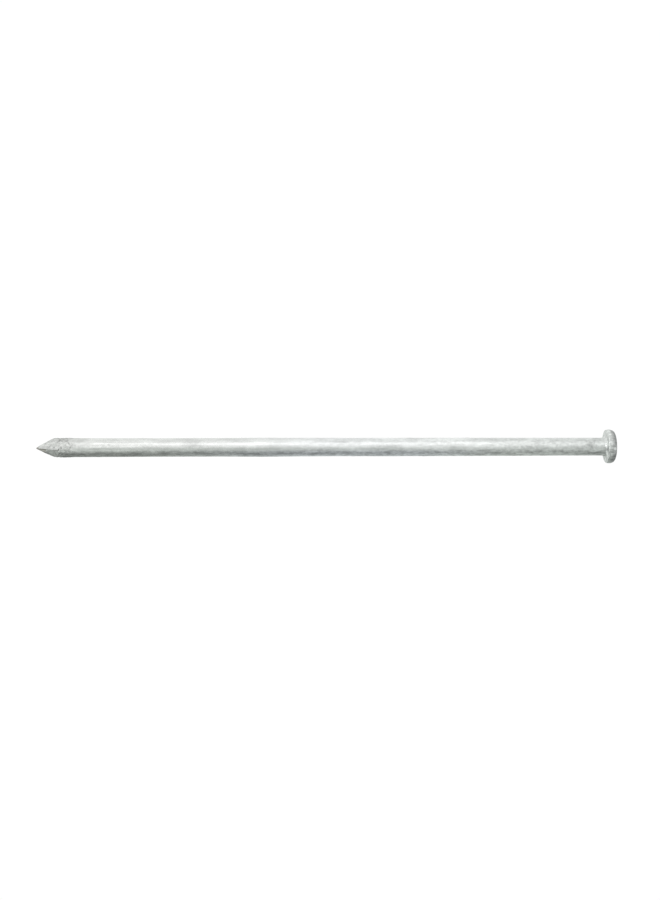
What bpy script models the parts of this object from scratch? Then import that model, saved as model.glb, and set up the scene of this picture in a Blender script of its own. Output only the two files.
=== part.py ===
"""Hot-dip galvanised round spike for landscape timbers and railway sleepers, 3/8 in by 12 in.

Two solids: the steel spike, which is one piece of drawn wire with an upset head and a cut
point, and the zinc coating that covers it all but for the tip of the point.

Frame: the spike lies along X. The origin is the centre of the coated strike face, +X points
out of that face and the point lies at -X. +Z is up.
"""

import math

import bmesh
import bpy

MM = 0.001
INCH = 0.0254

# Steel
SHANK_RADIUS = 3 / 8 * INCH / 2
LENGTH_UNDER_HEAD = 12 * INCH  # from the head's underside to the tip
HEAD_RADIUS = 9.1 * MM
HEAD_THICKNESS = 4.1 * MM
STRIKE_EDGE_RADIUS = 1.6 * MM  # the rounding left by the heading die
BACK_EDGE_RADIUS = 0.4 * MM
BULGE_TO_FRONT = 25  # the rim bulges: degrees that it turns towards the strike face
BULGE_TO_BACK = 12  # and towards the head's underside
FILLET_RADIUS = 2.0 * MM  # between the shank and the head's underside
POINT_RIDGE_SLOPE = 0.525  # radius over length along the top and bottom ridges of the point
POINT_FLATNESS = 0.82  # the same slope along the two side ridges is this much less

# Gripper marks: notches that the heading die's jaws press into two sides of the shank
NOTCH_COUNT = 7
NOTCH_PITCH = 3.0 * MM
NOTCH_FIRST = 7.0 * MM  # below the head's underside
NOTCH_DEPTH = 0.22 * MM
NOTCH_WIDTH = 0.9 * MM

# Zinc
COAT_GAP = 0.02 * MM  # keeps the two meshes apart; the real coating is bonded to the steel
COAT_THICKNESS = 0.10 * MM
BARE_TIP_LENGTH = 1.8 * MM  # steel showing at the tip, along the axis
BARE_TIP_SLANT = math.radians(60)  # the coating starts further back on one facet
BARE_TIP_SIDE = math.radians(-45)  # that facet's direction, from local +X towards +Y

# Facets
TURNED_SIDES = 32
ARC_STEPS = 5
MERGE = 0.01 * MM

STEEL = {"color": (0.30, 0.28, 0.26), "roughness": 0.55, "metallic": 0.9}
ZINC = {"color": (0.62, 0.64, 0.63), "roughness": 0.42, "metallic": 0.9}

COAT_OUTSIDE = COAT_GAP + COAT_THICKNESS
STRIKE_FACE = -COAT_OUTSIDE  # the bare steel's strike face, along the axis
TIP = STRIKE_FACE - HEAD_THICKNESS - LENGTH_UNDER_HEAD
FACET_SLOPE = POINT_RIDGE_SLOPE * POINT_FLATNESS / math.hypot(1, POINT_FLATNESS)


def clear_scene():
    for obj in list(bpy.data.objects):
        bpy.data.objects.remove(obj)


def new_collection(name):
    collection = bpy.data.collections.new(name)
    bpy.context.scene.collection.children.link(collection)
    return collection


def metal(name, color, roughness, metallic):
    material = bpy.data.materials.new(name)
    material.use_nodes = True
    shader = material.node_tree.nodes["Principled BSDF"]
    shader.inputs["Base Color"].default_value = (*color, 1.0)
    shader.inputs["Roughness"].default_value = roughness
    shader.inputs["Metallic"].default_value = metallic
    return material


def arc(centre, radius, start, end):
    """Points (radius from the axis, height) of an arc, its angles in degrees from +radius."""
    points = []
    for i in range(ARC_STEPS + 1):
        angle = math.radians(start + (end - start) * i / ARC_STEPS)
        points.append((centre[0] + radius * math.cos(angle), centre[1] + radius * math.sin(angle)))
    return points


def rim_outline(offset):
    """Points of the strike edge, the bulging rim and the back edge, three arcs in one smooth line."""
    front = math.sin(math.radians(BULGE_TO_FRONT))
    back = math.sin(math.radians(BULGE_TO_BACK))
    straight = HEAD_THICKNESS - STRIKE_EDGE_RADIUS * (1 - front) - BACK_EDGE_RADIUS * (1 - back)
    bulge = straight / (front + back)
    to_strike = bulge - STRIKE_EDGE_RADIUS
    to_back = bulge - BACK_EDGE_RADIUS
    middle = (HEAD_RADIUS - bulge, STRIKE_FACE - STRIKE_EDGE_RADIUS - to_strike * front)
    strike_edge = (middle[0] + to_strike * math.sqrt(1 - front ** 2), middle[1] + to_strike * front)
    back_edge = (middle[0] + to_back * math.sqrt(1 - back ** 2), middle[1] - to_back * back)
    outline = arc(strike_edge, STRIKE_EDGE_RADIUS + offset, 90, BULGE_TO_FRONT)
    outline += arc(middle, bulge + offset, BULGE_TO_FRONT, -BULGE_TO_BACK)[1:]
    return outline + arc(back_edge, BACK_EDGE_RADIUS + offset, -BULGE_TO_BACK, -90)[1:]


def spike_outline(offset):
    """Half outline (radius, height along the axis) of the turned blank, grown by offset."""
    underside = STRIKE_FACE - HEAD_THICKNESS
    outline = [(0.0, STRIKE_FACE + offset)] + rim_outline(offset)
    outline += arc(
        (SHANK_RADIUS + FILLET_RADIUS, underside - FILLET_RADIUS),
        FILLET_RADIUS - offset, 90, 180,
    )
    blank_end = TIP - 2 * SHANK_RADIUS
    outline += [(SHANK_RADIUS + offset, blank_end), (0.0, blank_end)]
    return outline


def turned(name, outline, collection):
    """A solid turned from its outline, with a flat and not a corner at the lowest line."""
    mesh = bpy.data.meshes.new(name)
    half_side = math.pi / TURNED_SIDES
    points = [
        (radius * math.cos(half_side), radius * math.sin(half_side), height)
        for radius, height in outline
    ]
    mesh.from_pydata(points, [(i, i + 1) for i in range(len(points) - 1)], [])
    obj = bpy.data.objects.new(name, mesh)
    collection.objects.link(obj)
    screw = obj.modifiers.new("turn", "SCREW")
    screw.axis = "Z"
    screw.angle = 2 * math.pi
    screw.steps = TURNED_SIDES
    screw.render_steps = TURNED_SIDES
    screw.use_merge_vertices = True
    screw.merge_threshold = MERGE
    return obj


def helper(obj):
    obj.hide_render = True
    obj.display_type = "WIRE"
    return obj


def point_pyramid(name, offset, collection):
    """A four-sided pyramid with the point's apex, long enough to hold the whole spike."""
    depth = 2 * LENGTH_UNDER_HEAD
    apex = TIP - offset / math.sin(math.atan(FACET_SLOPE))
    bm = bmesh.new()
    bmesh.ops.create_cone(
        bm, cap_ends=True, segments=4, radius1=0.0, radius2=POINT_RIDGE_SLOPE * depth, depth=depth,
    )
    bmesh.ops.remove_doubles(bm, verts=bm.verts, dist=MERGE)
    bmesh.ops.scale(bm, verts=bm.verts, vec=(1.0, POINT_FLATNESS, 1.0))
    bmesh.ops.translate(bm, verts=bm.verts, vec=(0.0, 0.0, apex + depth / 2))
    mesh = bpy.data.meshes.new(name)
    bm.to_mesh(mesh)
    bm.free()
    obj = bpy.data.objects.new(name, mesh)
    collection.objects.link(obj)
    return helper(obj)


def boolean(obj, operation, other):
    modifier = obj.modifiers.new(operation.lower(), "BOOLEAN")
    modifier.operation = operation
    modifier.solver = "EXACT"
    modifier.object = other


def notch_cutter(name, side, collection):
    """One row of V notches down a side of the shank, side being +1 or -1 along local Y."""
    bm = bmesh.new()
    top = STRIKE_FACE - HEAD_THICKNESS - NOTCH_FIRST
    half = NOTCH_WIDTH * 2  # the V is cut oversize, so its mouth stands clear of the shank
    for i in range(NOTCH_COUNT):
        ring = bmesh.ops.create_cone(
            bm, cap_ends=True, segments=4, radius1=half, radius2=half, depth=2 * SHANK_RADIUS,
        )
        squash = NOTCH_WIDTH / (2 * NOTCH_DEPTH)
        for vert in ring["verts"]:
            across, out, along = vert.co.z, vert.co.y, vert.co.x
            vert.co = (
                across,
                side * (SHANK_RADIUS - NOTCH_DEPTH + half / squash + out / squash),
                top - i * NOTCH_PITCH + along,
            )
    bmesh.ops.recalc_face_normals(bm, faces=bm.faces)
    mesh = bpy.data.meshes.new(name)
    bm.to_mesh(mesh)
    bm.free()
    obj = bpy.data.objects.new(name, mesh)
    collection.objects.link(obj)
    return helper(obj)


def tip_cutter(name, collection):
    """A slanted block that takes the coating off the tip, furthest on the lower facet at -Y."""
    size = 6 * SHANK_RADIUS
    bm = bmesh.new()
    bmesh.ops.create_cube(bm, size=size)
    bmesh.ops.translate(bm, verts=bm.verts, vec=(0.0, 0.0, -size / 2))
    mesh = bpy.data.meshes.new(name)
    bm.to_mesh(mesh)
    bm.free()
    obj = bpy.data.objects.new(name, mesh)
    obj.location = (0.0, 0.0, TIP + BARE_TIP_LENGTH)
    obj.rotation_euler = (0.0, -BARE_TIP_SLANT, BARE_TIP_SIDE)
    collection.objects.link(obj)
    return helper(obj)


def shade(obj, material):
    obj.data.materials.append(material)
    obj.data.shade_smooth()
    obj.data.set_sharp_from_angle(angle=math.radians(30))


def build_steel_spike(collection, cutters):
    spike = turned("steel_spike", spike_outline(0.0), collection)
    boolean(spike, "INTERSECT", point_pyramid("point_of_steel", 0.0, cutters))
    for side, label in ((1, "left"), (-1, "right")):
        boolean(spike, "DIFFERENCE", notch_cutter(f"notches_{label}", side, cutters))
    shade(spike, metal("bare_steel", **STEEL))
    return spike


def build_zinc_coating(collection, cutters):
    coating = turned("zinc_coating", spike_outline(COAT_OUTSIDE), collection)
    boolean(coating, "INTERSECT", point_pyramid("point_of_coating", COAT_OUTSIDE, cutters))
    inside = helper(turned("coating_inside", spike_outline(COAT_GAP), cutters))
    boolean(inside, "INTERSECT", point_pyramid("point_inside", COAT_GAP, cutters))
    boolean(coating, "DIFFERENCE", inside)
    boolean(coating, "DIFFERENCE", tip_cutter("tip_opening", cutters))
    shade(coating, metal("galvanised_zinc", **ZINC))
    return coating


def main():
    clear_scene()
    parts = new_collection("galvanised_spike")
    cutters = new_collection("cutters")
    build_steel_spike(parts, cutters)
    build_zinc_coating(parts, cutters)

    # Everything above stands along Z with the head up; lay it along X with the head at +X.
    lay_down = bpy.data.objects.new("lay_down", None)
    parts.objects.link(lay_down)
    for obj in [*parts.objects, *cutters.objects]:
        if obj is not lay_down:
            obj.parent = lay_down
    lay_down.rotation_euler = (0.0, math.pi / 2, 0.0)


main()
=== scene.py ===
"""Looks of the hot-dip galvanised round spike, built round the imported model.

Two pieces stand for the two CAD nodes. zinc_skin is a closed shell with the waves, lumps and runs of
hot-dip zinc. steel_core is the forged steel inside it, which shows where the skin has worn off the tip.

The spike lies along X, with the centre of its strike face at the origin and its point at -X. Lengths
are in metres, and an angle round the axis is measured from +Y towards +Z.
"""

import math

import bpy
import numpy as np
from mathutils import Matrix, Vector, noise


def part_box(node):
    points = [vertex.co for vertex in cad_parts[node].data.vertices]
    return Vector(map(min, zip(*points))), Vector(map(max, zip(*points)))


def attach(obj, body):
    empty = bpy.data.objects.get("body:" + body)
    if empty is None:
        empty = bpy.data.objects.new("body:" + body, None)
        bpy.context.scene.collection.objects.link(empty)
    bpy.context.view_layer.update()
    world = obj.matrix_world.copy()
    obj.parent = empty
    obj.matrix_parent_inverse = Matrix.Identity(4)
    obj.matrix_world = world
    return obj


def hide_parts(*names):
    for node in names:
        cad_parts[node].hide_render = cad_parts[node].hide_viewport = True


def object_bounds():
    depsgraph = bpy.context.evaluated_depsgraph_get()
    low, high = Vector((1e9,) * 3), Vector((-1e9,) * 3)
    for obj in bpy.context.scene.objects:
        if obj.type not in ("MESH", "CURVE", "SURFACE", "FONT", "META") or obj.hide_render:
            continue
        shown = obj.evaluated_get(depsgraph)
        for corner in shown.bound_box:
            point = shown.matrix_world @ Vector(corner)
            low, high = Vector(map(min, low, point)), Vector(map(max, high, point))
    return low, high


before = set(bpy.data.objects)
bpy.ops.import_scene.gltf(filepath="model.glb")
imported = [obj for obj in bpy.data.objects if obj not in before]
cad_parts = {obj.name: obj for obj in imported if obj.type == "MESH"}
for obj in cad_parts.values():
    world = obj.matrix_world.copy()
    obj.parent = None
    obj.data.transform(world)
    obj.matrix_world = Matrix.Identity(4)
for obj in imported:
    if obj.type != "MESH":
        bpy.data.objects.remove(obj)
CAD_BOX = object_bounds()

MM = 0.001

# Reading the CAD nodes
HEAD_SHARE = 0.9  # of the greatest radius: what is further out belongs to the head
FULL_SHARE = 0.99  # of the shank's radius: what is further out belongs to the full shank

# Shape that the CAD nodes' boxes don't give
STRIKE_EDGE_RADIUS = 1.6 * MM
BACK_EDGE_RADIUS = 0.4 * MM
BULGE_TO_FRONT = 25  # the rim bulges: degrees that it turns towards the strike face
BULGE_TO_BACK = 12  # and towards the head's underside
FILLET_RADIUS = 2.0 * MM
HEAD_LEAN_UP = -0.016  # the head's shift along X for each metre of height
HEAD_LEAN_BACK = 0.020  # and for each metre along Y
HEAD_THICKER = 0.6 * MM  # how much thicker than behind the upset head is in front
HEAD_THICKER_DEPTH = 3 * MM  # from the head's underside, where the extra thickness dies out
HEAD_LIFT = 0.15 * MM  # the upset head sits a little off the shank's axis
SKEW_LENGTH = 4 * MM  # of shank under the head that bends with it

# Point
RIDGE_SHARPNESS = 24  # power of the rounded corner between two facets
EDGE_SHARPNESS = 45  # the same, between a facet and the round shank
POINT_FLATNESS = 0.80  # the side ridges rise this much less than the top and bottom ones
FACET_TILTS = (0.98, 0.88, 0.99, 0.84)  # no two facets of a cut point are quite alike
RUN_OUT_END = 23 * MM  # from the tip: where the shallow end of a facet meets the shank
RUN_OUT_SLOPE = 0.035
TIP_BLUNTNESS = 0.18 * MM
TIP_DROOP = 0.4 * MM  # the point is bent down a little
DROOP_LENGTH = 12 * MM

# Gripper marks, pressed into the two sides of the shank and half filled with zinc
NOTCH_COUNT = 7
NOTCH_PITCH = 3.0 * MM
NOTCH_FIRST = 7.0 * MM  # below the head's underside
NOTCH_DEPTH = 0.22 * MM
NOTCH_WIDTH = 0.9 * MM
NOTCH_MOUTH = 1.6  # depths below the shank's surface, over which a notch fades out sideways
NOTCH_FILLED = 0.65

# Bare tip
BARE_TIP_LENGTH = 1.0 * MM
BARE_TIP_LEAST = 0.5 * MM
BARE_FACET_LENGTH = 5.2 * MM  # the zinc has worn off most of one facet
BARE_FACET = math.radians(225)  # the lower one in front
BARE_FACET_EDGES = (math.radians(36), math.radians(49.6))  # from its middle to the zinc's return
RAGGEDNESS = 0.4 * MM  # of the zinc's edge
RAGGED_LOOP = 2.2  # radius of the loop through the noise that makes it ragged
RAGGED_LEVEL = 4.0  # and the height of that loop
RAGGED_OCTAVES = (0.7, 2.1, 4)  # how fast they get weaker and finer, and how many there are
WORN_EDGE = 0.9 * MM  # width over which the zinc thins out
WORN_SHARE = 0.7  # of its thickness that it loses there

# Zinc
GAP = 0.02 * MM  # between the steel and the zinc
PROUD_AT_POINT = 0.07 * MM  # how far the wavy surface stands over the CAD's even coat, on average
PROUD_AT_HEAD = -0.01 * MM  # the zinc is thinner here, as it drained towards the point
DEEPEST = 0.07 * MM  # of the zinc's hollows, so that no steel comes through
DEEPEST_SOFTNESS = 0.02 * MM  # of the bend where a hollow reaches that depth
CUT_END = (14 * MM, 23 * MM)  # from the tip: the roughness of the cut fades and ends
FACET_ENDS = (8 * MM, 12 * MM, 16 * MM, 21 * MM)  # from the tip: lumps start, are full, fade and end
FACET_ENDS_PROUD = 0.05 * MM
FILLET = (-4.0 * MM, -1.5 * MM, -0.3 * MM, 0.4 * MM)  # the same of drips, from the head's underside
HEAD_CALM = (-8 * MM, 0.5)  # from the underside: long waves calm down from there, by this share
HEAD_START = -0.5 * MM  # from the underside: the head's own relief comes in from there
OCTAVE_FALLOFF = 0.8  # how fast a noise's octaves get weaker
OCTAVE_SPACING = 2.0  # and how fast they get finer
PATCHES = (22, 60)  # features per metre, along and across, of the patches with ripples
PATCH_EDGES = (-0.25, 0.35)
OUTSIDE_PATCHES = 0.25  # of the ripples' height
WAVES = (  # zone, height, features per metre along and across, octaves, shift of the noise
    ("off the head", 0.080 * MM, (18, 85), 1, 0),
    ("everywhere", 0.030 * MM, (40, 130), 1, 2),
    ("in patches", 0.012 * MM, (120, 420), 2, 0),
    ("on the cut", 0.090 * MM, (400, 400), 2, 1),
    ("on the head", 0.035 * MM, (350, 350), 2, 5),
)
RIDGES = ((620, 620), 3)  # features per metre, shift of the noise that makes sharp ridges
RIDGES_ON_CUT = 0.07 * MM
RIDGES_AT_FACET_ENDS = 0.30 * MM
FILLET_DRIPS = (0.10 * MM, (500, 500), 4)  # height, features per metre, shift of the noise
SWELLS = (  # distance from the tip, half length and height of thicker and thinner lengths of zinc
    (119 * MM, 13 * MM, 0.14 * MM),
    (288 * MM, 20 * MM, -0.06 * MM),
)
DENTS = (  # distance from the tip, angle, size along and across, and depth
    (11.9 * MM, 182, (0.6 * MM, 0.6 * MM), 0.30 * MM),
    (13.2 * MM, 95, (2.0 * MM, 1.8 * MM), 0.28 * MM),
    (14.7 * MM, 150, (1.0 * MM, 0.9 * MM), -0.22 * MM),
    (8.5 * MM, 180, (3.5 * MM, 0.35 * MM), -0.10 * MM),
    (37.4 * MM, 153, (1.0 * MM, 0.7 * MM), 0.12 * MM),
    (46.0 * MM, 153, (7.0 * MM, 0.3 * MM), 0.03 * MM),
    (141.5 * MM, 100, (8.0 * MM, 2.0 * MM), 0.22 * MM),
    (264.5 * MM, 193, (0.8 * MM, 0.8 * MM), -0.15 * MM),
    (303.7 * MM, 187, (0.6 * MM, 1.0 * MM), 0.35 * MM),
)

# Specks of dross and runs of zinc, placed at random
PIMPLE_COUNT = 110
PIMPLE_MARGIN = 4 * MM  # from the tip and from the head
PIMPLE_WIDTHS = (0.35, 0.9)  # mm
PIMPLE_HEIGHTS = (0.03, 0.10)  # mm
PIMPLE_REACH = 4  # widths along the spike, beyond which a pimple is nothing
RUN_COUNT = 16
RUN_MARGINS = (20 * MM, 10 * MM)  # of a run's middle, from the tip and from the head
RUN_HALF_LENGTHS = (6, 26)  # mm
RUN_WIDTHS = (0.13, 0.30)  # radians round the shank
RUN_HEIGHTS = (0.03, 0.09)  # mm
RUN_WANDER = 0.15  # radians to either side
RUN_BENDS = 2.2  # radians of the wander's wave in a half length
RUN_FULL = 0.4  # of the half length, where a run starts to fade

# Steel
SCALE_DEPTH = 0.02 * MM  # of the pits in its forged surface, on average
SCALE_PITS = (700, 1600)  # per metre along and across

# Shading of the zinc, including painted shade and painted highlights. A place is 0 at the tip and 1 at
# the strike face.
TINTS = (  # place, colour
    (0.000, (0.515, 0.525, 0.511)), (0.035, (0.535, 0.545, 0.530)), (0.060, (0.640, 0.650, 0.634)),
    (0.300, (0.640, 0.650, 0.640)), (0.500, (0.658, 0.671, 0.671)), (0.750, (0.650, 0.667, 0.657)),
    (0.955, (0.630, 0.652, 0.638)), (0.984, (0.600, 0.621, 0.608)), (0.988, (0.610, 0.631, 0.618)),
    (0.990, (0.510, 0.526, 0.518)), (0.993, (0.470, 0.485, 0.478)), (1.000, (0.450, 0.464, 0.457)),
)
PAINTED_LIGHT_AND_SHADE_BELOW = (  # place, lightness of the lower side: painted shade, and above 1 a painted highlight on the head's back edge
    (0.000, 0.60), (0.017, 0.60), (0.025, 1.00), (0.038, 1.00), (0.048, 0.60), (0.078, 0.60),
    (0.095, 0.82), (0.150, 0.77), (0.200, 0.84), (0.230, 0.90), (0.260, 0.90), (0.300, 0.98),
    (0.780, 1.00), (0.830, 0.95), (0.950, 0.95), (0.975, 0.85), (0.983, 1.00), (0.9855, 1.25),
    (0.988, 1.42), (0.991, 1.10), (0.994, 0.98), (1.000, 0.94),
)
PAINTED_SHADE_AT_BOTTOM = (  # place, lightness of the very bottom, on top of the lower side's: painted shade under the head and on the head's lowest part
    (0.980, 0.80), (0.986, 0.80), (0.988, 0.55), (0.991, 0.58), (0.994, 0.80), (1.000, 0.85),
)
PAINTED_SHADE_ON_TOP = (  # place, lightness of the upper side: painted shade near the point, before the head and on the head's top
    (0.000, 1.00), (0.038, 1.00), (0.048, 0.82), (0.078, 0.82), (0.095, 1.00), (0.860, 1.00),
    (0.910, 0.89), (0.975, 0.89), (0.987, 1.00), (0.9925, 0.78), (1.000, 0.82),
)
PAINTED_LIGHT_ON_SIDES = (  # painted shade and highlights: lightness, and the heights at which it starts and is full
    (PAINTED_LIGHT_AND_SHADE_BELOW, (-0.5 * MM, -3.0 * MM)),
    (PAINTED_SHADE_AT_BOTTOM, (-3.5 * MM, -5.2 * MM)),
    (PAINTED_SHADE_ON_TOP, (2.6 * MM, 4.4 * MM)),
)
BELOW = (0.5 * MM, -2.0 * MM)  # heights between which the lower half's own texture comes in
BLUE = ((0.200, 0.0), (0.400, 0.042), (0.650, 0.042), (0.800, 0.0))  # place, blue added to that half
MATT = (  # place, how dry and dull the zinc is
    (0.00, 0.30), (0.05, 0.40), (0.085, 0.35), (0.10, 0.02), (0.35, 0.10), (0.60, 0.30),
    (1.00, 0.60),
)
SPOTS_AND_PAINTED_LIGHT = (  # centre, half length along and across, and lightness of single spots and streaks: painted shade, painted highlights and darker marks
    # painted shade in the dent at the end of the front ridge, painted shade on the lower front facet,
    # and a painted highlight on the ridge
    ((-0.29705, -0.0044, 0.0000), (0.6 * MM, 0.6 * MM), -0.50),
    ((-0.29980, -0.0038, -0.0008), (0.8 * MM, 0.8 * MM), -0.22),
    ((-0.29900, -0.0044, 0.0008), (1.1 * MM, 1.1 * MM), 0.24),
    # painted shade in the dent and along the groove on the highlight band
    ((-0.27160, -0.0044, 0.0022), (0.9 * MM, 0.7 * MM), -0.18),
    ((-0.26060, -0.0044, 0.0022), (8.0 * MM, 0.3 * MM), -0.12),
    # painted highlights that widen the highlight band near the point
    ((-0.27880, -0.0047, 0.0014), (9.0 * MM, 0.7 * MM), 0.32),
    ((-0.25980, -0.0046, 0.0017), (14.0 * MM, 0.6 * MM), 0.18),
    ((-0.27000, -0.0048, -0.0006), (24.0 * MM, 0.7 * MM), 0.16),
    ((-0.26620, -0.0031, 0.0037), (7.0 * MM, 0.7 * MM), 0.20),
    # darker patches on the top front, far from the point and just before the head
    ((-0.22770, -0.0042, 0.0024), (9.0 * MM, 2.3 * MM), -0.16),
    ((-0.01380, -0.0042, 0.0022), (3.3 * MM, 2.3 * MM), -0.36),
    # painted shade in the dent in the fillet under the head
    ((-0.00550, -0.0055, -0.0003), (0.8 * MM, 0.8 * MM), -0.50),
    # a painted highlight on the rim by the strike edge
    ((-0.00160, -0.0089, 0.0010), (1.0 * MM, 1.0 * MM), 1.00),
)
SPOT_RAGGED = 0.35  # how far, in half lengths, a spot's edge strays
SPOT_REACH = 1.4  # half lengths to where a spot has faded out

# Textures of the zinc: features per metre along and across the spike
DRY_PATCHES = (70, 130)
MOTTLE = (60, 220)
STREAKS = (40, 800)
SPECKLE = (320, 800)
BLOTCHES = (80, 420)
FINE = (900, 900)  # of the bump and of the edges of spots
PITS = (850, 850)
CRYSTALS = (1000, 1000)
CRYSTAL_BENDS = 1.3  # bends in a crystal's outline for each crystal
CRYSTAL_BENT = (0.9, 0.9, 0.9)  # how far they stray, in crystals

# How much each texture counts
NOISE_RANGE = (0.3, 0.7)  # where nearly all values of a noise node lie
DRY_ABOVE = (0.52, 0.70)  # values of the noise between which a patch turns dry
DRY_MATT = 0.35  # how much more matt a dry patch is
MOTTLE_LIGHTNESS = (0.91, 1.15)
STREAKED = (0.35, 0.7)  # values of the noise between which a streak turns dark
STREAK_DARKNESS = 0.06
SPECKLE_BELOW = 0.33  # on the lower half
SPECKLE_AT_ENDS = 0.36  # on the point and the head
SPECKLED_POINT = (16 * MM, 11 * MM)  # from the tip: starts and is full
SPECKLED_HEAD = -1 * MM  # from the underside: starts
BLOTCH_BELOW = 0.14  # on the lower half
PIT_ABOVE = (0.49, 0.72)
PIT_DARKNESS = 0.58
PITTED = (3 * MM, 12 * MM, 16 * MM, 22 * MM)  # from the tip: pits start, are full, fade and end
ROUGHNESS_MOTTLE = 0.08
ROUGHNESS_CRYSTAL = 0.06
BUMP_HEIGHT = 0.08 * MM

# What depends on how matt the zinc is: its value where glossy, and what full mattness adds
ROUGHNESS = (0.20, 0.28)
METALLIC = (1.0, -0.45)
CRYSTAL_LIGHTNESS = (-0.03, -0.10)
SPECKLE_SHARE = (0.02, 0.20)
STREAK_HEIGHT = (0.6, -0.6)
BUMP_STRENGTH = (0.05, 1.4)
CRYSTAL_TILT = (0.015, 0.25)

# Material of the steel, with a bright line where the lower front facet is rubbed clean, and a brown
# film off it that is partly painted shade along the zinc's edge
CLEAN_STEEL = (0.85, 0.825, 0.775, 1)
BROWN_FILM_AND_SHADE = (0.33, 0.315, 0.29, 1)
RUBBED_LINE = 0.60 * MM  # of Y minus Z
RUBBED_EDGES = (0.35 * MM, 0.8 * MM)  # off that line: the brown film and the painted shade of the zinc's lip come in between these
FILM_TIP = (3.5 * MM, 2.0 * MM)  # from the tip: where more film comes in
FILM_ON_TIP = 0.6
FILM_AND_SHADE_PATCHES = (700, 700)  # per metre along and across
FILM_AND_SHADE_NOISE = 0.5
FILM_AND_SHADE_RANGE = (0.2, 1.2)
STEEL_ROUGHNESS = (0.38, 0.25)  # where clean, and what the film adds
STEEL_METALLIC = (1.0, -0.4)
DRAWN_LINES = (500, 3500)  # per metre along and across
LINE_HEIGHT = 0.03 * MM
LINE_STRENGTH = 0.8

# Mesh
SEGMENTS = 128  # round the axis
SKIN_STEPS = (0.24 * MM, 0.60 * MM)  # along the outline, and along the even part of the shank
INSIDE_STEPS = (0.8 * MM, 12 * MM)
CORE_STEPS = (0.45 * MM, 1.2 * MM)
CORE_END = 0.02 * MM  # from the tip
FACE_HOLE = 0.5 * MM  # radius of the first ring on the strike face
SLANT_POWER = 4  # rings follow the zinc's slanting edge near the tip, and lose the slant quickly
POINT_ZONE = 30 * MM  # from the tip: rings that follow the cut point
NEAR_HEAD = 24 * MM  # from the underside: closer rings than on the rest of the shank
NEAR_HEAD_COARSER = 1.5  # times the outline's step
FACE_COARSER = 1.2
BACK_EDGE_FINER = 0.5
SEED = 7

# Camera
CAMERA_LENS = 60.0
CAMERA_AZIMUTH = math.radians(-5.87)
CAMERA_ELEVATION = math.radians(13.0)
CAMERA_DISTANCE = 0.7994
CAMERA_ROLL = math.radians(1.21)
CAMERA_TARGET = Vector((-0.15473, 0.0, -0.00158))
CAMERA_CLIP = (0.01, 50.0)

# Floor
FLOOR_RADIUS = 4.0
FLOOR_FLAT = 1.2  # radius beyond which the floor curves up
FLOOR_RISE = 3.0
FLOOR_RINGS = 48
FLOOR_STEPS = 64
FLOOR_GLOW = 1.02  # strength of the floor's own light

# Light. The room is given round the spike's axis, in degrees above the horizon in front: at 90 it is
# the ceiling, at 180 the back wall and at -90 the floor.
ROOM = (
    (-180, 1.10), (-155, 0.80), (-130, 0.56), (-100, 0.44), (-70, 0.33), (-45, 0.45), (-20, 0.77),
    (0, 0.76), (20, 1.20), (45, 1.28), (70, 1.25), (95, 1.17), (130, 1.16), (180, 1.10),
)
FLOOR_TINT = (0.96, 1.02, 0.97)  # of the room's dark part
POINT_END = 1.5  # level of the wall that the point faces
HEAD_END = 0.58  # level of the wall that the head faces
POINT_END_EDGES = (-0.95, -0.60)  # along X of a direction, where the wall is full and where it ends
HEAD_END_EDGES = (0.30, 0.64)  # where the wall begins and where it is full
HEAD_END_FOOT = 0.40  # how light the lowest part of that wall is, as a share of the rest
HEAD_END_FOOT_EDGES = (-0.75, -0.45)  # along Z of a direction
SOFTBOX_HEIGHT = math.radians(55)
SOFTBOX_DISTANCE = 1.3
SOFTBOX_SIZE = (1.6, 0.65)
SOFTBOX_ALONG = 0.18  # where its middle is along X
SOFTBOX_POWER = 1.6
FLOOR_ALONG = (  # along X of a direction, how much lighter or darker than in ROOM the floor is
    (-0.30, 1.20), (-0.12, 0.80), (-0.03, 0.85), (0.07, 1.45), (0.18, 1.45), (0.28, 1.60),
    (0.50, 0.95),
)
FLOOR_FRONT_EDGES = (math.radians(-65), math.radians(-85))  # angles between which that comes in
FLOOR_BACK_EDGES = (math.radians(-170), math.radians(-130))  # the same, from behind
LAMP_WAY = Vector((-0.805, -0.480, 0.350))  # from the head towards a small lamp
LAMP_DISTANCE = 0.45
LAMP_RADIUS = 0.09
LAMP_POWER = 7.0
LAMP_CONE = math.radians(14)
LAMP_BLEND = 0.6


class Spike:
    """Driving dimensions of the bare steel, read from the CAD nodes."""

    def __init__(self):
        steel_low, steel_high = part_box("steel_spike")
        points = np.array([v.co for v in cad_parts["steel_spike"].data.vertices])
        radii = np.hypot(points[:, 1], points[:, 2])
        self.tip = steel_low.x
        self.strike_face = steel_high.x
        self.head_radius = radii.max()
        in_head = radii > HEAD_SHARE * self.head_radius
        self.head_back = points[in_head, 0].min()
        near_point = points[:, 0] < self.tip + POINT_ZONE
        self.shank_radius = radii[near_point].max()
        full = near_point & (radii > FULL_SHARE * self.shank_radius)
        self.ridge_slope = self.shank_radius / (points[full, 0].min() - self.tip)
        self.coat = CAD_BOX[1].x - self.strike_face


SPIKE = Spike()


# ---------------------------------------------------------------- surface of the spike

def line(start, end, step):
    """Points from start up to but without end."""
    count = max(2, round(math.dist(start, end) / step))
    return [
        (start[0] + (end[0] - start[0]) * i / count, start[1] + (end[1] - start[1]) * i / count)
        for i in range(count)
    ]


def arc(centre, radius, start, end, step):
    """Points (radius from the axis, place along it) of an arc, its angles in degrees."""
    count = max(3, round(abs(math.radians(end - start)) * radius / step))
    points = []
    for i in range(count):
        angle = math.radians(start + (end - start) * i / count)
        points.append((centre[0] + radius * math.cos(angle), centre[1] + radius * math.sin(angle)))
    return points


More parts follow.
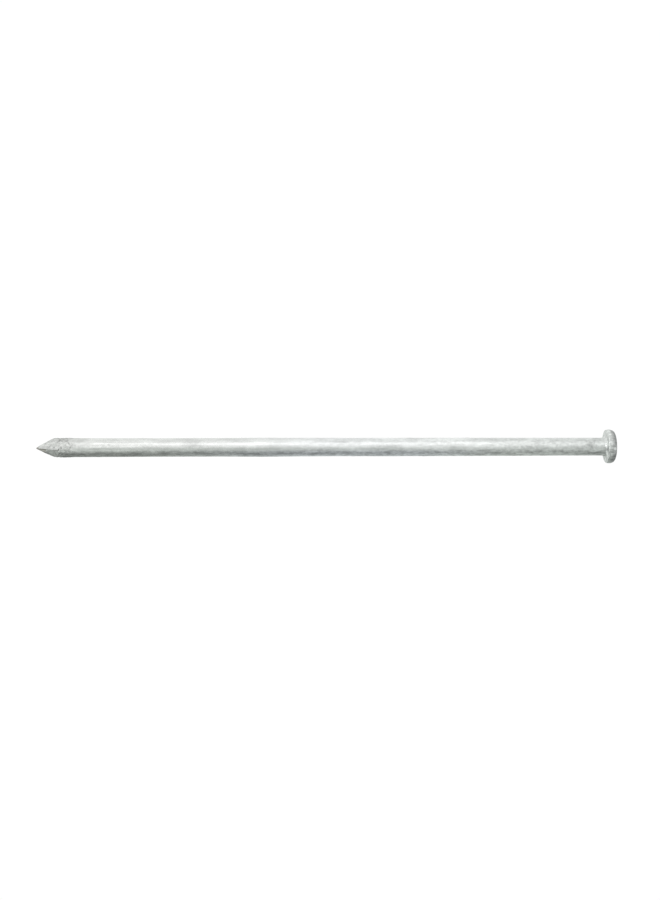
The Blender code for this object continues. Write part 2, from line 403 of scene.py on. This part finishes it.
def rim_outline(offset, step):
    """Points of the strike edge, the bulging rim and the back edge, three arcs in one smooth line."""
    front = math.sin(math.radians(BULGE_TO_FRONT))
    back = math.sin(math.radians(BULGE_TO_BACK))
    thickness = SPIKE.strike_face - SPIKE.head_back
    straight = thickness - STRIKE_EDGE_RADIUS * (1 - front) - BACK_EDGE_RADIUS * (1 - back)
    bulge = straight / (front + back)
    to_strike = bulge - STRIKE_EDGE_RADIUS
    to_back = bulge - BACK_EDGE_RADIUS
    middle = (SPIKE.head_radius - bulge, SPIKE.strike_face - STRIKE_EDGE_RADIUS - to_strike * front)
    strike_edge = (middle[0] + to_strike * math.sqrt(1 - front ** 2), middle[1] + to_strike * front)
    back_edge = (middle[0] + to_back * math.sqrt(1 - back ** 2), middle[1] - to_back * back)
    outline = arc(strike_edge, STRIKE_EDGE_RADIUS + offset, 90, BULGE_TO_FRONT, step)
    outline += arc(middle, bulge + offset, BULGE_TO_FRONT, -BULGE_TO_BACK, step)
    fine = BACK_EDGE_FINER * step
    return outline + arc(back_edge, BACK_EDGE_RADIUS + offset, -BULGE_TO_BACK, -90, fine)


def turned_outline(offset, step, shank_step):
    """Outline (radius, x) from near the middle of the strike face to the start of the point."""
    face = SPIKE.strike_face + offset
    back = SPIKE.head_back
    shank = SPIKE.shank_radius + offset
    foot = SPIKE.shank_radius + FILLET_RADIUS
    near_head = back - NEAR_HEAD
    rim = rim_outline(offset, step)
    outline = line((FACE_HOLE, face), (rim[0][0], face), FACE_COARSER * step) + rim
    outline += line((rim[-1][0], back - offset), (foot, back - offset), step)[1:]
    outline += arc((foot, back - FILLET_RADIUS), FILLET_RADIUS - offset, 90, 180, step)
    outline += line((shank, back - FILLET_RADIUS), (shank, near_head), NEAR_HEAD_COARSER * step)
    outline += line((shank, near_head), (shank, SPIKE.tip + POINT_ZONE), shank_step)
    return np.array(outline)


def soft_min(a, b, sharpness):
    """The smaller of two radii, with the corner between them rounded."""
    return (a ** -sharpness + b ** -sharpness) ** (-1 / sharpness)


def facets(distances, angle):
    """Radius of a four-sided section with these distances from the axis to its sides."""
    total = 0
    for i, distance in enumerate(distances):
        towards = np.maximum(np.cos(angle - math.radians(45 + 90 * i)), 0)
        total = total + (towards / distance) ** RIDGE_SHARPNESS
    return total ** (-1 / RIDGE_SHARPNESS)


def point_radius(from_tip, angle, offset):
    """Radius of the point, at a distance from the tip and an angle round the axis."""
    rounding = 2 ** (1 / RIDGE_SHARPNESS)
    slope = SPIKE.ridge_slope * math.cos(math.pi / 4) * rounding
    squashed = np.cos(angle) / POINT_FLATNESS
    stretch = np.hypot(squashed, np.sin(angle))
    square_angle = np.arctan2(np.sin(angle), squashed)
    shank = SPIKE.shank_radius + offset
    sides = [slope * tilt * from_tip + TIP_BLUNTNESS + offset for tilt in FACET_TILTS]
    shallow = shank - RUN_OUT_SLOPE * (RUN_OUT_END - from_tip)
    cut = facets(sides, square_angle) / stretch
    radius = soft_min(cut, facets([shallow] * 4, angle), EDGE_SHARPNESS)
    return soft_min(radius, shank, EDGE_SHARPNESS)


def ring_angles():
    """Angles round the axis of a ring's points."""
    return np.arange(SEGMENTS) * 2 * math.pi / SEGMENTS


def place(radius, x, angle):
    """Points at a radius from the axis, a place along it and an angle round it."""
    radius, x, angle = np.broadcast_arrays(radius, x, angle)
    return np.stack([x, radius * np.cos(angle), radius * np.sin(angle)], axis=-1)


def smooth_step(value, start, end):
    """From 0 at start to 1 at end, level at both."""
    share = np.clip((value - start) / (end - start), 0, 1)
    return share * share * (3 - 2 * share)


def band(value, start, full, fade, end):
    """From 0 at start to 1 at full, and from fade back to 0 at end."""
    return smooth_step(value, start, full) * (1 - smooth_step(value, fade, end))


def wrapped(angle):
    """The angle brought between minus and plus half a turn."""
    return np.angle(np.exp(1j * angle))


def bent(points):
    """The head leaned over, shifted and made thicker in front, and the point bent down."""
    x = points[..., 0]
    on_head = smooth_step(x, SPIKE.head_back - SKEW_LENGTH, SPIKE.head_back)
    near_back = 1 - smooth_step(x, SPIKE.head_back, SPIKE.head_back + HEAD_THICKER_DEPTH)
    in_front = np.clip(-points[..., 1] / SPIKE.head_radius, 0, 1) ** 2
    lean = HEAD_LEAN_UP * points[..., 2] + HEAD_LEAN_BACK * points[..., 1]
    near_tip = np.clip(1 - (x - SPIKE.tip) / DROOP_LENGTH, 0, 1)
    points = points.copy()
    points[..., 0] += (lean - HEAD_THICKER * near_back * in_front) * on_head
    points[..., 2] += HEAD_LIFT * on_head - TIP_DROOP * near_tip ** 2
    return points


def bare_length(angle):
    """How far from the tip the zinc begins."""
    off_facet = np.abs(wrapped(angle - BARE_FACET))
    on_facet = 1 - smooth_step(off_facet, *BARE_FACET_EDGES)
    loop = [
        Vector((RAGGED_LOOP * math.cos(a), RAGGED_LOOP * math.sin(a), RAGGED_LEVEL)) for a in angle
    ]
    ragged = RAGGEDNESS * np.array([noise.fractal(p, *RAGGED_OCTAVES) for p in loop])
    length = BARE_TIP_LENGTH + (BARE_FACET_LENGTH - BARE_TIP_LENGTH) * on_facet + ragged
    return np.maximum(length, BARE_TIP_LEAST)


def surface(offset, steps, end):
    """Rings of points over the spike from its strike face to a distance from the tip, which may
    differ from angle to angle. steps are along the outline and along the even part of the shank."""
    angle = ring_angles()
    outline = turned_outline(offset, *steps)
    turned = place(outline[:, :1], outline[:, 1:], angle)
    share = np.linspace(0, 1, round(POINT_ZONE / steps[0]))[:, None]
    nearest = np.min(end)
    from_tip = POINT_ZONE + (nearest - POINT_ZONE) * share + (end - nearest) * share ** SLANT_POWER
    radius = point_radius(from_tip, angle, offset)
    point = place(radius, SPIKE.tip + from_tip, angle)
    return bent(np.concatenate([turned, point]))


def normals(rings):
    """Directions that point out of a surface made of rings."""
    along = np.gradient(rings, axis=0)
    around = np.roll(rings, -1, axis=1) - np.roll(rings, 1, axis=1)
    normal = np.cross(along, around)
    return normal / np.linalg.norm(normal, axis=-1, keepdims=True)


# ---------------------------------------------------------------- relief of the zinc

def field(points, scale, octaves=2):
    """Smooth noise at the points, from about -1 to 1. scale is in features per metre, along and
    across the spike."""
    along, across = scale
    flat = points.reshape(-1, 3) * (along, across, across)
    values = [noise.fractal(Vector(p), OCTAVE_FALLOFF, OCTAVE_SPACING, octaves) for p in flat]
    return np.array(values).reshape(points.shape[:-1])


def pimples(points, random):
    """Small round specks of dross, caught in the zinc."""
    relief = np.zeros(points.shape[:-1])
    for _ in range(PIMPLE_COUNT):
        x = random.uniform(SPIKE.tip + PIMPLE_MARGIN, SPIKE.head_back - PIMPLE_MARGIN)
        angle = random.uniform(0, 2 * math.pi)
        centre = place(SPIKE.shank_radius, x, angle)
        width = random.uniform(*PIMPLE_WIDTHS) * MM
        height = random.uniform(*PIMPLE_HEIGHTS) * MM
        near = np.abs(points[:, 0, 0] - x) < PIMPLE_REACH * width
        squared = ((points[near] - centre) ** 2).sum(axis=-1)
        relief[near] += height * np.exp(-squared / (2 * width ** 2))
    return relief


def runs(points, random):
    """Long low ridges where molten zinc ran along the shank."""
    relief = np.zeros(points.shape[:-1])
    x = points[..., 0]
    around = np.arctan2(points[..., 2], points[..., 1])
    on_shank = x < SPIKE.head_back - FILLET_RADIUS
    for _ in range(RUN_COUNT):
        middle = random.uniform(SPIKE.tip + RUN_MARGINS[0], SPIKE.head_back - RUN_MARGINS[1])
        half_length = random.uniform(*RUN_HALF_LENGTHS) * MM
        angle = random.uniform(-math.pi, math.pi)
        width = random.uniform(*RUN_WIDTHS)
        height = random.uniform(*RUN_HEIGHTS) * MM
        wander = angle + RUN_WANDER * np.sin((x - middle) / half_length * RUN_BENDS)
        off = wrapped(around - wander)
        ends = 1 - smooth_step(np.abs(x - middle), RUN_FULL * half_length, half_length)
        relief += height * ends * on_shank * np.exp(-off ** 2 / (2 * width ** 2))
    return relief


def notches(points, depth):
    """Rows of V notches in the +Y and -Y sides of the shank, as a relief below zero."""
    mouth = NOTCH_MOUTH * depth
    side = np.abs(points[..., 1]) - (SPIKE.shank_radius - mouth)
    from_head = SPIKE.head_back - points[..., 0] - NOTCH_FIRST
    place_in_row = from_head / NOTCH_PITCH
    nearest = np.clip(np.round(place_in_row), 0, NOTCH_COUNT - 1)
    off = np.abs(place_in_row - nearest) * NOTCH_PITCH
    groove = 1 - smooth_step(off, 0, NOTCH_WIDTH / 2)
    return -depth * groove * smooth_step(side, 0, mouth)


def swells(points):
    """Lengths of the shank where the zinc is thicker or thinner all round."""
    relief = np.zeros(points.shape[:-1])
    for from_tip, half_length, height in SWELLS:
        off = (points[..., 0] - SPIKE.tip - from_tip) / half_length
        relief += height * np.exp(-off ** 2)
    return relief


def dents(points):
    """Single hollows and lumps: a lump is a dent of negative depth."""
    relief = np.zeros(points.shape[:-1])
    around = np.arctan2(points[..., 2], points[..., 1])
    for from_tip, angle, size, depth in DENTS:
        along = (points[..., 0] - SPIKE.tip - from_tip) / size[0]
        off = wrapped(around - math.radians(angle)) * SPIKE.shank_radius / size[1]
        relief -= depth * np.exp(-along ** 2 - off ** 2)
    return relief


def zones(points):
    """How much each zone of the spike counts at the points, from 0 to 1."""
    from_tip = points[..., 0] - SPIKE.tip
    from_head = points[..., 0] - SPIKE.head_back
    calm_start, calm = HEAD_CALM
    patch = smooth_step(field(points, PATCHES), *PATCH_EDGES)
    return {
        "everywhere": 1,
        "off the head": 1 - calm * smooth_step(from_head, calm_start, 0),
        "in patches": OUTSIDE_PATCHES + (1 - OUTSIDE_PATCHES) * patch,
        "on the cut": 1 - smooth_step(from_tip, *CUT_END),
        "on the head": smooth_step(from_head, HEAD_START, 0),
        "at facet ends": band(from_tip, *FACET_ENDS),
        "in the fillet": band(from_head, *FILLET),
    }


def zinc_relief(points):
    """Height of the zinc's surface over an even coat."""
    random = np.random.default_rng(SEED)
    zone = zones(points)
    along = (points[..., 0] - SPIKE.tip) / -SPIKE.tip
    relief = PROUD_AT_POINT + (PROUD_AT_HEAD - PROUD_AT_POINT) * along
    for where, height, scale, octaves, shift in WAVES:
        relief += height * field(points + shift, scale, octaves) * zone[where]
    scale, shift = RIDGES
    ridged = 0.5 - np.abs(field(points + shift, scale))
    relief += ridged * RIDGES_ON_CUT * zone["on the cut"]
    relief += (ridged * RIDGES_AT_FACET_ENDS + FACET_ENDS_PROUD) * zone["at facet ends"]
    height, scale, shift = FILLET_DRIPS
    relief += height * (1 + field(points + shift, scale)) * zone["in the fillet"]
    relief += pimples(points, random) + runs(points, random) + swells(points) + dents(points)
    relief += notches(points, NOTCH_DEPTH * (1 - NOTCH_FILLED))
    return DEEPEST_SOFTNESS * np.logaddexp(0, (relief + DEEPEST) / DEEPEST_SOFTNESS) - DEEPEST


# ---------------------------------------------------------------- meshes

def add_object(name, data):
    """A new object in the scene."""
    added = bpy.data.objects.new(name, data)
    bpy.context.scene.collection.objects.link(added)
    return added


def ring_faces(count, around, last=None):
    """Faces from point 0 through rings of points, and on to the last point if there is one."""
    faces = []
    for j in range(around):
        k = (j + 1) % around
        faces.append((0, 1 + j, 1 + k))
        for i in range(count - 1):
            row = 1 + i * around
            faces.append((row + j, row + around + j, row + around + k, row + k))
        if last is not None:
            row = 1 + (count - 1) * around
            faces.append((row + j, last, row + k))
    return faces


def smooth_mesh(name, points, faces):
    mesh = bpy.data.meshes.new(name)
    mesh.from_pydata(points, [], faces)
    mesh.shade_smooth()
    return mesh


def closed_piece(name, first, rings, last):
    """A closed piece from a pole, rings of equal length and another pole."""
    count, around = rings.shape[:2]
    points = [tuple(point) for point in (first, *rings.reshape(-1, 3), last)]
    faces = ring_faces(count, around, len(points) - 1)
    return add_object(name, smooth_mesh(name, points, faces))


def build_zinc_skin():
    """The zinc: its wavy outside, thinned towards the worn edge, and its smooth inside."""
    bare = bare_length(ring_angles())
    outside = surface(SPIKE.coat, SKIN_STEPS, bare)
    wear = smooth_step(outside[..., 0] - SPIKE.tip - bare, 0, WORN_EDGE)
    thinned = (SPIKE.coat - GAP) * WORN_SHARE * (1 - wear)
    height = zinc_relief(outside) * wear - thinned
    outside = outside + normals(outside) * height[..., None]
    inside = surface(GAP, INSIDE_STEPS, bare)[::-1]
    first = outside[0].mean(axis=0)
    last = inside[-1].mean(axis=0)
    return closed_piece("zinc_skin", first, np.concatenate([outside, inside]), last)


def build_steel_core():
    """The steel, with the gripper marks and a scaly surface."""
    rings = surface(0, CORE_STEPS, CORE_END)
    relief = notches(rings, NOTCH_DEPTH) - SCALE_DEPTH * (1 + field(rings, SCALE_PITS))
    rings = rings + normals(rings) * relief[..., None]
    first = rings[0].mean(axis=0)
    last = (SPIKE.tip, 0, -TIP_DROOP)
    return closed_piece("steel_core", first, rings, last)


# ---------------------------------------------------------------- node trees

COLOR_A, COLOR_B, COLOR_RESULT = 6, 7, 2  # a Mix node's colour sockets, which share their names


class Nodes:
    """A node tree, with short calls for the nodes it uses."""

    def __init__(self, tree, coordinates):
        self.tree = tree
        self.place = self.add("ShaderNodeTexCoord").outputs[coordinates]

    def add(self, kind, inputs=None, **settings):
        node = self.tree.nodes.new(kind)
        for key, value in settings.items():
            setattr(node, key, value)
        for key, value in (inputs or {}).items():
            self.put(value, node.inputs[key])
        return node

    def put(self, value, socket):
        if isinstance(value, bpy.types.NodeSocket):
            self.tree.links.new(value, socket)
        else:
            socket.default_value = value

    def axes(self):
        return self.add("ShaderNodeSeparateXYZ", {0: self.place}).outputs

    def math(self, operation, a, b=0.0, c=0.0):
        return self.add("ShaderNodeMath", {0: a, 1: b, 2: c}, operation=operation).outputs[0]

    def vector(self, operation, a, b=(0, 0, 0), c=(0, 0, 0)):
        return self.add("ShaderNodeVectorMath", {0: a, 1: b, 2: c}, operation=operation).outputs[0]

    def combine(self, x, y, z):
        return self.add("ShaderNodeCombineXYZ", {0: x, 1: y, 2: z}).outputs[0]

    def linear(self, value, start, change):
        """start, and change times the value on top."""
        return self.math("MULTIPLY_ADD", value, change, start)

    def length(self, vector):
        return self.add("ShaderNodeVectorMath", {0: vector}, operation="LENGTH").outputs["Value"]

    def spread(self, value, low, high, to_low=0.0, to_high=1.0, shape="SMOOTHSTEP"):
        inputs = {
            "Value": value, "From Min": low, "From Max": high, "To Min": to_low, "To Max": to_high,
        }
        return self.add("ShaderNodeMapRange", inputs, interpolation_type=shape).outputs["Result"]

    def mix(self, share, a, b):
        node = self.add("ShaderNodeMix", {0: share, COLOR_A: a, COLOR_B: b}, data_type="RGBA")
        return node.outputs[COLOR_RESULT]

    def ramp(self, share, stops):
        """A colour ramp through (position from 0 to 1, colour) stops."""
        node = self.add("ShaderNodeValToRGB", {"Fac": share})
        elements = node.color_ramp.elements
        while len(elements) < len(stops):
            elements.new(0.5)
        for element, (position, color) in zip(elements, stops):
            element.position = position
            element.color = (*color, 1)
        return node.outputs["Color"]

    def scaled(self, scale):
        """Coordinates with this many units per metre along and across the axis."""
        along, across = scale
        return self.vector("MULTIPLY", self.place, (along, across, across))

    def noise(self, scale, detail=3.0, roughness=0.55, distortion=0.0, output="Fac"):
        inputs = {
            "Vector": self.scaled(scale), "Scale": 1.0, "Detail": detail,
            "Roughness": roughness, "Distortion": distortion,
        }
        return self.add("ShaderNodeTexNoise", inputs).outputs[output]

    def contrasted(self, noise_value):
        """A noise node's value with more contrast, from -0.5 to 0.5."""
        return self.spread(noise_value, 0.35, 0.65, -0.5, 0.5)

    def crystals(self, scale):
        """A random colour for each cell of a bent cell pattern."""
        bend = self.noise([CRYSTAL_BENDS * part for part in scale], detail=2.0, output="Color")
        bent_place = self.vector("MULTIPLY_ADD", bend, CRYSTAL_BENT, self.scaled(scale))
        inputs = {"Vector": bent_place, "Scale": 1.0}
        return self.add("ShaderNodeTexVoronoi", inputs).outputs["Color"]

    def bump(self, height, distance, strength):
        inputs = {"Height": height, "Distance": distance, "Strength": strength}
        return self.add("ShaderNodeBump", inputs).outputs["Normal"]

    def tilted(self, normal, direction, amount):
        """The normal leaned at random, by a colour that stands for a direction."""
        centred = self.vector("SUBTRACT", direction, (0.5, 0.5, 0.5))
        leaned = self.vector("MULTIPLY_ADD", centred, amount, normal)
        return self.vector("NORMALIZE", leaned)


def greys(stops):
    """Stops for a colour ramp from (position, level) pairs."""
    return [(position, (level,) * 3) for position, level in stops]


def principled(name):
    """A new material with its nodes and its shader's inputs."""
    material = bpy.data.materials.new(name)
    material.use_nodes = True
    nodes = Nodes(material.node_tree, "Object")
    return material, nodes, material.node_tree.nodes["Principled BSDF"].inputs


def zinc_tint(n, along, below):
    """The zinc's colour along the spike, bluer on the lower half of the middle."""
    blue = n.math("MULTIPLY", n.ramp(along, greys(BLUE)), below)
    return n.vector("ADD", n.ramp(along, TINTS), n.combine(0.0, 0.0, blue))


def zinc_speckle(n, x, below, matt):
    """Fine light and dark specks, stronger underneath, on the point and on the head."""
    speckle = n.contrasted(n.noise(SPECKLE, roughness=0.6))
    on_point = n.spread(x, *[SPIKE.tip + edge for edge in SPECKLED_POINT])
    on_head = n.spread(x, SPIKE.head_back + SPECKLED_HEAD, SPIKE.head_back)
    at_ends = n.math("MULTIPLY", n.math("MAXIMUM", on_point, on_head), SPECKLE_AT_ENDS)
    share = n.linear(below, n.linear(matt, *SPECKLE_SHARE), SPECKLE_BELOW)
    return n.math("MULTIPLY", speckle, n.math("MAXIMUM", share, at_ends))


def zinc_pits(n, x):
    """Pits in the cut facets, from 0 to 1."""
    start, full, fade, end = [SPIKE.tip + edge for edge in PITTED]
    pits = n.spread(n.noise(PITS), *PIT_ABOVE)
    pits = n.math("MULTIPLY", pits, n.spread(x, start, full))
    return n.math("MULTIPLY", pits, n.spread(x, end, fade))


def with_painted_sides(n, shade, along, z):
    """The shade made lighter or darker on the lower and upper sides, as painted shade and painted
    highlights.
    """
    for levels, edges in PAINTED_LIGHT_ON_SIDES:
        level = n.math("SUBTRACT", n.ramp(along, greys(levels)), 1.0)
        shade = n.math("MULTIPLY", shade, n.linear(n.spread(z, *edges), 1.0, level))
    return shade


def with_spots_and_painted_light(n, shade):
    """The shade with the single spots and streaks: darker marks, painted shade in dents and recesses,
    and painted highlights.
    """
    ragged = n.noise(FINE, detail=4.0, roughness=0.65)
    ragged = n.spread(ragged, *NOISE_RANGE, -SPOT_RAGGED, SPOT_RAGGED)
    for centre, (half_length, radius), lightness in SPOTS_AND_PAINTED_LIGHT:
        off = n.vector("SUBTRACT", n.place, centre)
        off = n.vector("MULTIPLY", off, (1 / half_length, 1 / radius, 1 / radius))
        spot = n.spread(n.math("ADD", n.length(off), ragged), SPOT_REACH, 0.0)
        shade = n.linear(spot, shade, lightness)
    return shade


def zinc_material():
    """Weathered hot-dip zinc: satin metal, mottled, with fine crystals and pale dry patches. Its colour
    also carries painted shade and painted highlights.
    """
    material, n, shader = principled("hot_dip_zinc")
    x, _, z = n.axes()
    below = n.spread(z, *BELOW)
    along = n.spread(x, SPIKE.tip, 0.0, shape="LINEAR")
    dry = n.spread(n.noise(DRY_PATCHES, detail=6.0, roughness=0.7, distortion=0.6), *DRY_ABOVE)
    matt = n.linear(dry, n.ramp(along, greys(MATT)), DRY_MATT)
    crystal = n.crystals(CRYSTALS)
    crystal_value = n.add("ShaderNodeSeparateColor", {0: crystal}).outputs[0]
    mottle = n.noise(MOTTLE, detail=5.0, roughness=0.6)
    streak = n.noise(STREAKS)

    speckle = zinc_speckle(n, x, below, matt)
    shade = n.math("ADD", speckle, n.spread(mottle, *NOISE_RANGE, *MOTTLE_LIGHTNESS))
    shade = n.math("SUBTRACT", shade, n.spread(streak, *STREAKED, 0.0, STREAK_DARKNESS))
    shade = n.linear(crystal_value, shade, n.linear(matt, *CRYSTAL_LIGHTNESS))
    blotch = n.contrasted(n.noise(BLOTCHES, detail=2.0))
    shade = n.linear(blotch, shade, n.math("MULTIPLY", below, BLOTCH_BELOW))
    shade = n.linear(zinc_pits(n, x), shade, -PIT_DARKNESS)
    # painted shade and highlights on the sides, then single spots with more painted shade and
    # highlights
    shade = with_spots_and_painted_light(n, with_painted_sides(n, shade, along, z))

    roughness = n.linear(mottle, n.linear(matt, *ROUGHNESS), ROUGHNESS_MOTTLE)
    roughness = n.linear(crystal_value, roughness, ROUGHNESS_CRYSTAL)
    height = n.math("MULTIPLY", streak, n.linear(matt, *STREAK_HEIGHT))
    height = n.math("ADD", height, n.noise(FINE, roughness=0.6))
    grain = n.bump(height, BUMP_HEIGHT, n.linear(matt, *BUMP_STRENGTH))
    n.put(n.vector("MULTIPLY", zinc_tint(n, along, below), shade), shader["Base Color"])
    n.put(roughness, shader["Roughness"])
    n.put(n.linear(matt, *METALLIC), shader["Metallic"])
    n.put(n.tilted(grain, crystal, n.linear(matt, *CRYSTAL_TILT)), shader["Normal"])
    return material


def steel_material():
    """Bare forged steel with a thin brown film, rubbed clean along a line. Away from the line the film
    is partly painted shade along the zinc's edge.
    """
    material, n, shader = principled("bare_forged_steel")
    x, y, z = n.axes()
    off_line = n.math("SUBTRACT", n.math("SUBTRACT", y, z), RUBBED_LINE)
    on_tip = n.spread(x, *[SPIKE.tip + edge for edge in FILM_TIP], to_high=FILM_ON_TIP)
    # darker away from the rubbed line, towards the zinc's edge: brown film and painted shade of the
    # zinc's lip
    film_and_shade = n.math("ADD", n.spread(n.math("ABSOLUTE", off_line), *RUBBED_EDGES), on_tip)
    film_and_shade = n.linear(n.noise(FILM_AND_SHADE_PATCHES, detail=5.0, roughness=0.65), film_and_shade, FILM_AND_SHADE_NOISE)
    film_and_shade = n.spread(film_and_shade, *FILM_AND_SHADE_RANGE)
    n.put(n.mix(film_and_shade, CLEAN_STEEL, BROWN_FILM_AND_SHADE), shader["Base Color"])
    n.put(n.linear(film_and_shade, *STEEL_ROUGHNESS), shader["Roughness"])
    n.put(n.linear(film_and_shade, *STEEL_METALLIC), shader["Metallic"])
    n.put(n.bump(n.noise(DRAWN_LINES), LINE_HEIGHT, LINE_STRENGTH), shader["Normal"])
    return material


def floor_material():
    """Plain white that gives off its own light, so that no shadow falls on it."""
    material, n, shader = principled("white_floor")
    n.put((0, 0, 0, 1), shader["Base Color"])
    n.put(0.0, shader["Specular IOR Level"])
    n.put((1, 1, 1, 1), shader["Emission Color"])
    n.put(FLOOR_GLOW, shader["Emission Strength"])
    return material


# ---------------------------------------------------------------- floor, light and camera

def floor_mesh():
    """A round floor that curves up all round, like a studio's paper sweep."""
    points = [(0.0, 0.0, 0.0)]
    for i in range(1, FLOOR_RINGS + 1):
        radius = FLOOR_RADIUS * i / FLOOR_RINGS
        rise = max(0.0, radius - FLOOR_FLAT) / (FLOOR_RADIUS - FLOOR_FLAT)
        for j in range(FLOOR_STEPS):
            angle = 2 * math.pi * j / FLOOR_STEPS
            height = FLOOR_RISE * rise ** 2
            points.append((radius * math.cos(angle), radius * math.sin(angle), height))
    return smooth_mesh("studio_floor", points, ring_faces(FLOOR_RINGS, FLOOR_STEPS))


def build_floor():
    """The floor touches the head's rim and the end of the round shank, as the spike lies on it."""
    floor = add_object("studio_floor", floor_mesh())
    floor.data.materials.append(floor_material())
    drop = SPIKE.head_radius - SPIKE.shank_radius
    shank_end = SPIKE.tip + SPIKE.shank_radius / SPIKE.ridge_slope
    floor.location = (SPIKE.head_back, 0, -SPIKE.head_radius - SPIKE.coat)
    floor.rotation_euler = (0, math.atan(drop / (SPIKE.head_back - shank_end)), 0)
    for kind in ("glossy", "diffuse", "transmission", "shadow"):
        setattr(floor, f"visible_{kind}", False)


def build_softbox():
    """A long softbox in front of the spike and above it."""
    data = bpy.data.lights.new("softbox", "AREA")
    data.shape = "RECTANGLE"
    data.size, data.size_y = SOFTBOX_SIZE
    data.energy = SOFTBOX_POWER
    light = add_object("softbox", data)
    middle = Vector((SOFTBOX_ALONG, 0, 0))
    away = Vector((0, -math.cos(SOFTBOX_HEIGHT), math.sin(SOFTBOX_HEIGHT)))
    light.location = middle + away * SOFTBOX_DISTANCE
    light.rotation_euler = away.to_track_quat("Z", "Y").to_euler()
    light.visible_camera = False


def build_lamp():
    """A small lamp on the head, from the point's side."""
    data = bpy.data.lights.new("head_spot", "SPOT")
    data.energy = LAMP_POWER
    data.shadow_soft_size = LAMP_RADIUS
    data.spot_size = LAMP_CONE
    data.spot_blend = LAMP_BLEND
    light = add_object("head_spot", data)
    away = LAMP_WAY.normalized()
    light.location = Vector((SPIKE.head_back, 0, 0)) + away * LAMP_DISTANCE
    light.rotation_euler = away.to_track_quat("Z", "Y").to_euler()
    light.visible_camera = False


def room_stops():
    """Stops for a colour ramp of ROOM, whose dark part has the floor's tint."""
    brightest = max(level for _, level in ROOM)
    stops = []
    for degrees, level in ROOM:
        tinted = min(1, 2 * (1 - level / brightest))
        color = [level * (1 + (part - 1) * tinted) for part in FLOOR_TINT]
        stops.append(((degrees + 180) / 360, color))
    return stops


def build_room():
    """The light that the spike reflects: a pale room, a darker floor and a dark wall past the head."""
    world = bpy.data.worlds.new("studio")
    world.use_nodes = True
    bpy.context.scene.world = world
    n = Nodes(world.node_tree, "Generated")
    x, y, z = n.axes()
    height = n.math("ARCTAN2", z, n.math("MULTIPLY", y, -1.0))
    room = n.ramp(n.spread(height, -math.pi, math.pi, shape="LINEAR"), room_stops())
    floor_stops = [((place_along + 1) / 2, level) for place_along, level in FLOOR_ALONG]
    floor_light = n.ramp(n.linear(x, 0.5, 0.5), greys(floor_stops))
    front = n.spread(height, *FLOOR_FRONT_EDGES)
    at_floor = n.math("MULTIPLY", front, n.spread(height, *FLOOR_BACK_EDGES))
    room = n.mix(at_floor, room, n.vector("MULTIPLY", room, floor_light))
    at_point_end = n.spread(x, *POINT_END_EDGES, to_low=1.0, to_high=0.0)
    room = n.mix(at_point_end, room, (POINT_END, POINT_END, POINT_END, 1))
    wall = n.spread(z, *HEAD_END_FOOT_EDGES, to_low=HEAD_END_FOOT)
    room = n.mix(n.spread(x, *HEAD_END_EDGES), room, n.math("MULTIPLY", wall, HEAD_END))
    n.put(room, world.node_tree.nodes["Background"].inputs["Color"])


def build_camera():
    data = bpy.data.cameras.new("photo_camera")
    data.lens = CAMERA_LENS
    data.clip_start, data.clip_end = CAMERA_CLIP
    camera = add_object("photo_camera", data)
    flat = math.cos(CAMERA_ELEVATION)
    back = Vector((
        math.sin(CAMERA_AZIMUTH) * flat, -math.cos(CAMERA_AZIMUTH) * flat, math.sin(CAMERA_ELEVATION),
    ))
    aim = back.to_track_quat("Z", "Y").to_matrix().to_4x4()
    place_back = Matrix.Translation(CAMERA_TARGET + back * CAMERA_DISTANCE)
    camera.matrix_world = place_back @ aim @ Matrix.Rotation(CAMERA_ROLL, 4, "Z")
    bpy.context.scene.camera = camera


def main():
    zinc = build_zinc_skin()
    zinc.data.materials.append(zinc_material())
    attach(zinc, "root")
    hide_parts("zinc_coating")
    steel = build_steel_core()
    steel.data.materials.append(steel_material())
    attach(steel, "root")
    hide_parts("steel_spike")
    build_floor()
    build_softbox()
    build_lamp()
    build_room()
    build_camera()
    bpy.context.scene.view_settings.view_transform = "Standard"


main()
